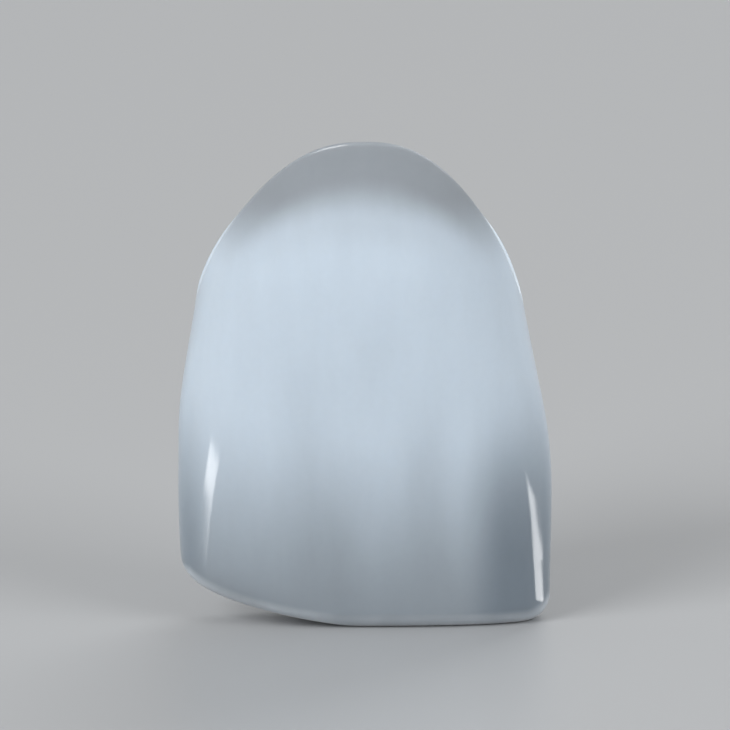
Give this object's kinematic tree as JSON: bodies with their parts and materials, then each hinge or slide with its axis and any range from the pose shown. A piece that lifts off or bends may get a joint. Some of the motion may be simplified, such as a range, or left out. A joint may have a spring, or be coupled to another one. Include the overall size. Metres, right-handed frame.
{
  "type": "ceramic dental crown",
  "caption": "Hollow tooth-shaped ceramic crown for an upper central incisor, with a scalloped margin and a tapered socket for a prepared tooth.",
  "frame": {"origin": "middle of the ground that the crown covers, at the level of its incisal edge", "axes": "+Z from the incisal edge to the root end, +X to the mesial side, -Y to the labial face, +Y to the lingual face"},
  "size_m": [0.0084, 0.0064, 0.0114],
  "materials": {
    "glazed_ceramic": "glazed and polished, cool white with a grey-blue incisal edge"
  },
  "bodies": {
    "root": {"crown": "glazed_ceramic"}
  },
  "joints": []
}
